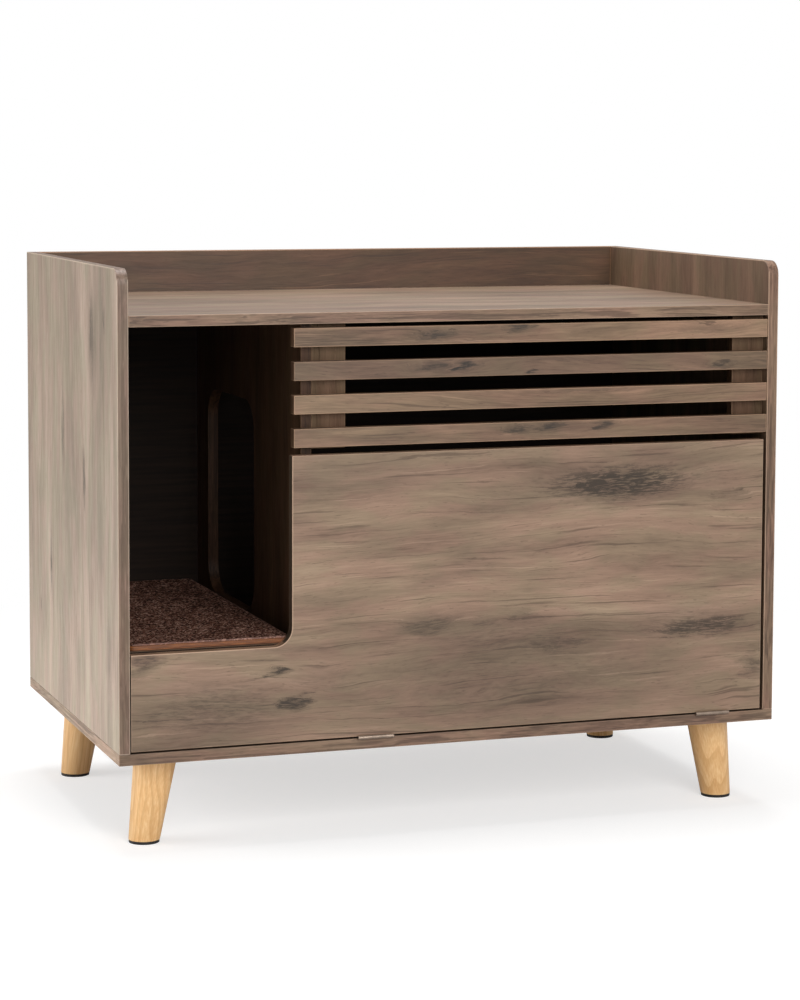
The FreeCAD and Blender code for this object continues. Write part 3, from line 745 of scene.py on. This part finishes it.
def raw_softwood(name, code, grain_axis):
    """Planed wood left bare: matt, with soft even grain and raised fibres."""
    material, tree = new_material(name)
    place = add_node(tree, "ShaderNodeTexCoord", out=3)
    size = [1 / 2.2] * 3
    size[grain_axis] = 1 / 70
    scaled = add_node(
        tree, "ShaderNodeVectorMath", {0: place, 1: [s / MM for s in size]}, operation="MULTIPLY"
    )
    grain = add_node(
        tree, "ShaderNodeTexNoise", {"Vector": scaled, "Scale": 1.0, "Detail": 4.0, "Roughness": 0.6}
    )
    colour = add_node(
        tree,
        "ShaderNodeValToRGB",
        {0: grain},
        stops=[(0.3, linear(code, 0.72)), (0.5, linear(code)), (0.7, linear(code, 1.15))],
    )
    finish_surface(
        tree, grain, bump_depth=0.12, bump_strength=0.5, Base_Color=colour, Roughness=0.75, IOR=1.5
    )
    return material


def ferrite_block():
    """Sintered ferrite magnet: near black, matt and slightly gritty."""
    material, tree = new_material("sintered_ferrite")
    place = add_node(tree, "ShaderNodeTexCoord", out=3)
    grit = add_node(tree, "ShaderNodeTexNoise", {"Vector": place, "Scale": 1 / (0.6 * MM), "Detail": 3.0})
    colour = add_node(
        tree, "ShaderNodeValToRGB", {0: grit}, stops=[(0.3, linear("#26252a")), (0.7, linear("#3d3c40"))]
    )
    finish_surface(tree, grit, bump_depth=0.06, bump_strength=0.6, Base_Color=colour, Roughness=0.7, IOR=1.6)
    return material


def cut_pile():
    """Cut-pile polypropylene carpet, solution dyed: flecks of cocoa, mauve and dusty pink tufts about 2.6 mm
    wide, with the pale cut ends of the yarn showing along its edge."""
    material, tree = new_material("cut_pile_carpet")
    place = add_node(tree, "ShaderNodeTexCoord", out=3)
    tuft = add_node(
        tree, "ShaderNodeTexVoronoi", {"Vector": place, "Scale": 1 / (2.6 * MM), "Randomness": 1.0}, out=1
    )
    fleck = add_node(tree, "ShaderNodeSeparateColor", {0: tuft})
    fibre = add_node(tree, "ShaderNodeTexNoise", {"Vector": place, "Scale": 1 / (0.9 * MM), "Detail": 3.0})
    worn = add_node(tree, "ShaderNodeTexNoise", {"Vector": place, "Scale": 1 / (45 * MM), "Detail": 2.0})
    level = add_node(tree, "ShaderNodeMath", {0: fibre, 1: 0.5, 2: fleck}, operation="MULTIPLY_ADD")
    rubbed = add_node(tree, "ShaderNodeMath", {0: worn, 1: 0.4, 2: level}, operation="MULTIPLY_ADD")
    shade = add_node(tree, "ShaderNodeMath", {0: rubbed, 1: 0.55}, operation="MULTIPLY")
    colour = add_node(
        tree,
        "ShaderNodeValToRGB",
        {0: shade},
        stops=[
            (0.30, linear("#24120c")),
            (0.52, linear("#553427")),
            (0.66, linear("#8d6353")),
            (0.82, linear("#cba491")),
        ],
    )
    x, y, _ = inset(tree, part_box("scratch_pad_carpet"))
    nearest = add_node(tree, "ShaderNodeMath", {0: x, 1: y}, operation="MINIMUM")
    edge = rise(tree, nearest, 3.0 * MM, 0.6 * MM)
    frayed = rise(tree, fibre, 0.35, 0.65, start=0.15, to=0.55)
    ends = add_node(tree, "ShaderNodeMath", {0: edge, 1: frayed}, operation="MULTIPLY")
    edged = add_node(
        tree, "ShaderNodeMix", {0: ends, 6: colour, 7: linear("#bd978a")}, out=2, data_type="RGBA"
    )
    finish_surface(
        tree,
        fibre,
        bump_depth=0.5,
        bump_strength=0.8,
        Base_Color=edged,
        Roughness=0.95,
        Specular_IOR_Level=0.15,
        IOR=1.45,
    )
    return material


def waxed_tape():
    """Close-woven cotton tape, dyed orange-brown and waxed: a low sheen, with long streaks where the wax is
    thin."""
    material, tree = new_material("waxed_cotton_tape")
    place = add_node(tree, "ShaderNodeTexCoord", out=3)
    millimetres = add_node(tree, "ShaderNodeVectorMath", {0: place, "Scale": 1 / MM}, operation="SCALE")
    streak = add_node(
        tree, "ShaderNodeVectorMath", {0: millimetres, 1: (1 / 22, 1 / 22, 1 / 1.6)}, operation="MULTIPLY"
    )
    layer = add_node(tree, "ShaderNodeTexNoise", {"Vector": streak, "Scale": 1.0, "Detail": 3.0})
    fibre = add_node(tree, "ShaderNodeTexNoise", {"Vector": millimetres, "Scale": 1.2, "Detail": 3.0})
    level = add_node(tree, "ShaderNodeMath", {0: fibre, 1: 0.5, 2: layer}, operation="MULTIPLY_ADD")
    colour = add_node(
        tree,
        "ShaderNodeValToRGB",
        {0: level},
        stops=[(0.5, linear("#592f13")), (0.75, linear("#78441f")), (1.0, linear("#9f622d"))],
    )
    finish_surface(tree, fibre, bump_depth=0.15, bump_strength=0.5, Base_Color=colour, Roughness=0.6, IOR=1.5)
    return material


def raw_fibreboard():
    """Medium-density fibreboard left bare: even brown fibre with paler faces."""
    material, tree = new_material("raw_fibreboard")
    place = add_node(tree, "ShaderNodeTexCoord", out=3)
    fibre = add_node(tree, "ShaderNodeTexNoise", {"Vector": place, "Scale": 1 / (0.7 * MM), "Detail": 4.0})
    cloud = add_node(tree, "ShaderNodeTexNoise", {"Vector": place, "Scale": 1 / (30 * MM), "Detail": 2.0})
    level = add_node(tree, "ShaderNodeMath", {0: fibre, 1: 0.6, 2: cloud}, operation="MULTIPLY_ADD")
    colour = add_node(
        tree,
        "ShaderNodeValToRGB",
        {0: level},
        stops=[(0.6, linear("#8a6747")), (0.8, linear("#9d7a58")), (1.0, linear("#b08e6b"))],
    )
    finish_surface(tree, fibre, bump_depth=0.1, bump_strength=0.5, Base_Color=colour, Roughness=0.8, IOR=1.5)
    return material


def finish_small_parts():
    """Hinges, catches, screws, dowels and the other fittings."""
    give(hardboard_back(), "back_panel")
    nickel = plated_metal("nickel_plated_steel", "#9c8b7d", 0.40, mark_length=2.0, mark_width=2.0)
    zinc = plated_metal("zinc_plated_steel", "#b9bcc0", 0.32)
    cast = plated_metal("die_cast_zinc", "#a8a9ab", 0.42, mark_length=1.2, mark_width=1.2)
    for side in ("left", "right"):
        give(nickel, f"hinge_{side}_base_leaf", f"hinge_{side}_door_leaf", f"hinge_{side}_pin")
        give(zinc, f"strike_plate_{side}")
    give(zinc, "hinge_base_screws", "hinge_door_screws", "catch_screws", "strike_plate_screws")
    give(zinc, "louvre_screws", "back_rail_screws", "connecting_screws", "platform_screws", "cleat_screws")
    give(zinc, "hanger_bolts", "threaded_inserts", "cam_bolts")
    give(cast, "cam_locks")
    give(moulded_plastic("moulded_brown_plastic", "#4a3a30"), "catch_left_housing", "catch_right_housing")
    give(ferrite_block(), "catch_left_magnet", "catch_right_magnet")
    beech = raw_softwood("raw_beech", "#c79a6b", ALONG_Z)
    give(beech, "frame_dowels", "batten_dowels")
    pine = raw_softwood("raw_planed_pine", "#d0ab7c", ALONG_Y)
    give(pine, "platform_cleat_left", "platform_cleat_right")
    foot = moulded_plastic("moulded_black_plastic", "#1d1b1a", 0.5)
    give(foot, *[f"foot_pad_{leg}" for leg in LEGS])
    give(raw_fibreboard(), "scratch_pad_board")


# ---------------------------------------------------------------- the carpet


def lone_primitive(add, **settings):
    """Adds a primitive with nothing else selected, and returns it."""
    bpy.ops.object.select_all(action="DESELECT")
    add(**settings)
    return bpy.context.active_object


def apply_place(piece):
    """Leaves the piece's place in its mesh and its object at the origin."""
    bpy.ops.object.select_all(action="DESELECT")
    piece.select_set(True)
    bpy.context.view_layer.objects.active = piece
    bpy.ops.object.transform_apply(location=True, rotation=True, scale=True)


def carpet_pile():
    """The carpet on the pad: a thin backing with rounded corners, its top raised into tufts."""
    low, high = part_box("scratch_pad_carpet")
    size = high - low
    step = 1.5 * MM
    carpet = lone_primitive(
        bpy.ops.mesh.primitive_grid_add,
        x_subdivisions=round(size.x / step),
        y_subdivisions=round(size.y / step),
        size=1.0,
        location=((low.x + high.x) / 2, (low.y + high.y) / 2, high.z - TUFT_ROOM),
    )
    carpet.name = "scratch_pad_pile"
    carpet.scale = (size.x, size.y, 1.0)
    apply_place(carpet)
    round_corners(carpet, low, high, PAD_CORNER)
    bpy.ops.object.mode_set(mode="EDIT")
    bpy.ops.mesh.select_all(action="SELECT")
    bpy.ops.mesh.region_to_loop()
    bpy.ops.mesh.extrude_region_move(TRANSFORM_OT_translate={"value": (0, 0, low.z - high.z + TUFT_ROOM)})
    bpy.ops.mesh.edge_face_add()
    bpy.ops.mesh.select_all(action="SELECT")
    bpy.ops.mesh.normals_make_consistent(inside=False)
    bpy.ops.object.mode_set(mode="OBJECT")
    raise_tufts(carpet, high.z)
    carpet.data.materials.append(cut_pile())
    bpy.ops.object.shade_smooth()
    return carpet


def edge_binding():
    """The tape round the pad: a band up the board's edge that rolls in under the carpet."""
    low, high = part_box("scratch_pad_board")
    size = high - low
    middle = (low + high) / 2
    tape = lone_primitive(
        bpy.ops.mesh.primitive_plane_add, size=1.0, location=(middle.x, middle.y, low.z + 0.2 * MM)
    )
    tape.name = "scratch_pad_binding"
    tape.scale = (size.x, size.y, 1.0)
    apply_place(tape)
    bpy.ops.object.mode_set(mode="EDIT")
    bpy.ops.mesh.select_all(action="SELECT")
    bpy.ops.mesh.bevel(offset=PAD_CORNER, segments=8, affect="VERTICES")
    bpy.ops.mesh.delete(type="ONLY_FACE")
    bpy.ops.mesh.select_all(action="SELECT")
    wall = high.z - low.z - 1.0 * MM
    for climb, draw_in in ((wall, 0.0), (0.3 * MM, 0.2 * MM), (0.2 * MM, 0.4 * MM), (0.1 * MM, 0.7 * MM)):
        bpy.ops.mesh.extrude_edges_move(TRANSFORM_OT_translate={"value": (0, 0, climb)})
        narrower = (1 - 2 * draw_in / size.x, 1 - 2 * draw_in / size.y, 1)
        bpy.ops.transform.resize(value=narrower, center_override=middle)
    bpy.ops.mesh.select_all(action="SELECT")
    bpy.ops.mesh.normals_make_consistent(inside=False)
    bpy.ops.object.mode_set(mode="OBJECT")
    thicken = tape.modifiers.new("thicken", "SOLIDIFY")
    thicken.thickness = 0.5 * MM
    thicken.offset = 1.0
    thicken.use_even_offset = True
    bpy.ops.object.modifier_apply(modifier="thicken")
    bpy.ops.object.shade_smooth_by_angle(angle=math.radians(40))
    tape.data.materials.append(waxed_tape())
    return tape


def round_corners(piece, low, high, radius):
    """Draws the square corners of a flat grid in onto quarter circles."""
    for vertex in piece.data.vertices:
        across = Vector((0.0, 0.0))
        for axis in (0, 1):
            near = low[axis] + radius
            far = high[axis] - radius
            place = vertex.co[axis]
            across[axis] = place - near if place < near else max(0.0, place - far)
        reach = max(abs(across.x), abs(across.y))
        if across.x and across.y:
            drawn = across * (reach / across.length)
            vertex.co.x += drawn.x - across.x
            vertex.co.y += drawn.y - across.y


def raise_tufts(carpet, crown):
    """Lifts the pile into tufts of uneven height, none higher above the crown than the flat pile was
    below it."""
    top = carpet.vertex_groups.new(name="pile")
    level = crown - TUFT_ROOM - 0.1 * MM
    top.add([v.index for v in carpet.data.vertices if v.co.z > level], 1.0, "REPLACE")
    for name, kind, width, height in (("tufts", "STUCCI", 1.6, 1.1), ("lay", "CLOUDS", 12.0, 0.5)):
        texture = bpy.data.textures.new(name, kind)
        texture.noise_scale = width * MM
        lift = carpet.modifiers.new(name, "DISPLACE")
        lift.texture = texture
        lift.texture_coords = "LOCAL"
        lift.direction = "Z"
        lift.vertex_group = "pile"
        lift.mid_level = 0.5
        lift.strength = height * MM
        bpy.ops.object.modifier_apply(modifier=name)
    for vertex in carpet.data.vertices:
        vertex.co.z = min(vertex.co.z, crown + TUFT_ROOM)


# ---------------------------------------------------------------- stage, light and camera


def paper_floor():
    """Matt white paper. The camera sees it as white away from the object, with the object's soft shadow near
    it."""
    material, tree = new_material("studio_paper")
    place = add_node(tree, "ShaderNodeTexCoord", out=3)
    split = tree.nodes.new("ShaderNodeSeparateXYZ")
    tree.links.new(place, split.inputs[0])
    flat = add_node(tree, "ShaderNodeCombineXYZ", {0: split.outputs[0], 1: split.outputs[1]})
    away = add_node(tree, "ShaderNodeVectorMath", {0: flat}, out=1, operation="LENGTH")
    far = rise(tree, away, *FLOOR_FADE)
    paper = add_node(tree, "ShaderNodeBsdfDiffuse", {"Color": (0.85, 0.85, 0.85, 1.0)})
    soft = add_node(tree, "ShaderNodeBsdfDiffuse", {"Color": (FLOOR_SHADE, FLOOR_SHADE, FLOOR_SHADE, 1.0)})
    lift = add_node(tree, "ShaderNodeEmission", {"Color": WHITE, "Strength": FLOOR_LIFT})
    glow = add_node(tree, "ShaderNodeEmission", {"Color": WHITE, "Strength": 1.0})
    near_floor = add_node(tree, "ShaderNodeAddShader", {0: soft, 1: lift})
    seen_floor = add_node(tree, "ShaderNodeMixShader", {0: far, 1: near_floor, 2: glow})
    seen = add_node(tree, "ShaderNodeLightPath", out=0)
    surface = add_node(tree, "ShaderNodeMixShader", {0: seen, 1: paper, 2: seen_floor})
    add_node(tree, "ShaderNodeOutputMaterial", {"Surface": surface})
    return material


def make_floor():
    """A wide flat floor that the feet stand on."""
    floor = lone_primitive(bpy.ops.mesh.primitive_plane_add, size=40.0)
    floor.name = "studio_floor"
    floor.data.materials.append(paper_floor())


def make_world():
    """Soft grey light from all round, which the camera sees as white and a glossy surface as a paler grey."""
    world = bpy.data.worlds.new("studio_room")
    bpy.context.scene.world = world
    world.use_nodes = True
    tree = world.node_tree
    tree.nodes.clear()
    path = tree.nodes.new("ShaderNodeLightPath")
    straight = add_node(
        tree,
        "ShaderNodeMath",
        {0: path.outputs["Is Camera Ray"], 1: path.outputs["Is Transmission Ray"]},
        operation="MAXIMUM",
    )
    mirrored = add_node(
        tree, "ShaderNodeMath", {0: path.outputs["Is Glossy Ray"], 1: ROOM_SHINE}, operation="MULTIPLY"
    )
    seen = add_node(tree, "ShaderNodeMath", {0: straight, 1: mirrored}, operation="MAXIMUM")
    strength = add_node(
        tree, "ShaderNodeMath", {0: seen, 1: 1.0 - ROOM_LIGHT, 2: ROOM_LIGHT}, operation="MULTIPLY_ADD"
    )
    room = add_node(tree, "ShaderNodeBackground", {"Color": WHITE, "Strength": strength})
    add_node(tree, "ShaderNodeOutputWorld", {"Surface": room})


def softbox(name, place, target, size, power):
    """A square softbox that faces the target."""
    light = bpy.data.lights.new(name, "AREA")
    light.shape = "SQUARE"
    light.size = size
    light.energy = power
    lamp = bpy.data.objects.new(name, light)
    bpy.context.scene.collection.objects.link(lamp)
    lamp.location = place
    lamp.rotation_euler = (Vector(target) - Vector(place)).to_track_quat("-Z", "Y").to_euler()
    lamp.visible_camera = False


def make_lights():
    """A softbox at the left for the side panel, one high in front for the door, and one overhead."""
    make_world()
    softbox("left_softbox", (-3.4, 0.5, 1.3), target=(-0.4, 0.1, 0.4), size=2.0, power=60.0)
    softbox("front_softbox", (0.1, -4.1, 2.2), target=(0.1, -0.2, 0.4), size=2.2, power=108.0)
    softbox("top_softbox", (0.1, 0.4, 3.2), target=(0.0, 0.0, 0.6), size=1.8, power=70.0)


def make_camera():
    """The photograph's view, with its small roll."""
    forward = Vector(
        (
            math.sin(CAMERA_HEADING) * math.cos(CAMERA_PITCH),
            math.cos(CAMERA_HEADING) * math.cos(CAMERA_PITCH),
            -math.sin(CAMERA_PITCH),
        )
    )
    level_right = forward.cross(Vector((0, 0, 1))).normalized()
    level_up = level_right.cross(forward)
    right = level_right * math.cos(CAMERA_ROLL) + level_up * math.sin(CAMERA_ROLL)
    up = level_up * math.cos(CAMERA_ROLL) - level_right * math.sin(CAMERA_ROLL)
    camera_data = bpy.data.cameras.new("studio_camera")
    camera_data.lens = CAMERA_LENS
    camera_data.shift_y = CAMERA_RISE
    camera = bpy.data.objects.new("studio_camera", camera_data)
    bpy.context.scene.collection.objects.link(camera)
    turn = Matrix((right, up, -forward)).transposed().to_4x4()
    camera.matrix_world = Matrix.Translation(CAMERA_PLACE) @ turn
    bpy.context.scene.camera = camera


# ---------------------------------------------------------------- the scene


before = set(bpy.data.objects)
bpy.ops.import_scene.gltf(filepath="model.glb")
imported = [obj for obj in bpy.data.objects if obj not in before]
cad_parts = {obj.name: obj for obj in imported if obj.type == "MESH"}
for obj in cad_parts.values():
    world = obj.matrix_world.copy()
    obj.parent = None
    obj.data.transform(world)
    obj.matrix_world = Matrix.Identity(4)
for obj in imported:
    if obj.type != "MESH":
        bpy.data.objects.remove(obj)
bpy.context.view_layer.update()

finish_boards()
finish_legs()
finish_small_parts()

pile = carpet_pile()
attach(pile, "scratch_pad")
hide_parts("scratch_pad_carpet")
binding = edge_binding()
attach(binding, "scratch_pad")

make_floor()
make_lights()
make_camera()
bpy.context.scene.view_settings.view_transform = "Standard"
